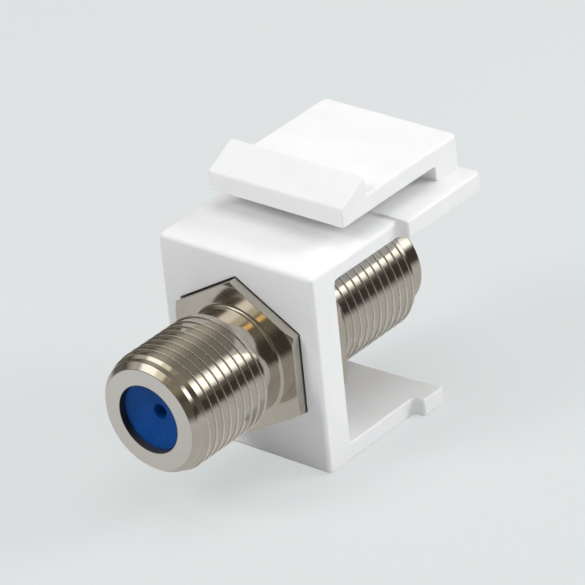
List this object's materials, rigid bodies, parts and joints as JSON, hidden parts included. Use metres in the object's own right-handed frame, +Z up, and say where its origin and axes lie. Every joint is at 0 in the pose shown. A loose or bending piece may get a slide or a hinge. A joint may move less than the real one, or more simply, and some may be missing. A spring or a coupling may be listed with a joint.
{
  "type": "f connector",
  "caption": "Snap-in panel insert with a double-ended threaded coaxial coupler, nut, insulators and a spring latch arm.",
  "frame": {"origin": "middle of the bottom of the whole part's box, on the plane that the bottom wall rests on", "axes": "+Y along the coupler's axis from the front port to the rear port, +Z up towards the latch, +X to the right seen from the front"},
  "size_m": [0.0164, 0.03, 0.0208],
  "materials": {
    "white_plastic": "satin moulded white",
    "nickel_plate": "bright nickel plate over brass",
    "blue_plastic": "moulded blue",
    "contact_bronze": "plain spring bronze"
  },
  "bodies": {
    "insert": {"housing": "white_plastic", "coupler_body": "nickel_plate", "rear_nut": "nickel_plate", "front_insulator": "blue_plastic", "rear_insulator": "blue_plastic", "centre_contact": "contact_bronze"},
    "latch": {"latch_arm": "white_plastic"}
  },
  "joints": [
    {"name": "latch_flex", "type": "hinge", "parent": "insert", "child": "latch", "pos_m": [0, 0.01204, 0.01781], "axis": [1, 0, 0], "range_deg": [0, 6.5], "stiffness_Nm_per_rad": 1.8}
  ]
}
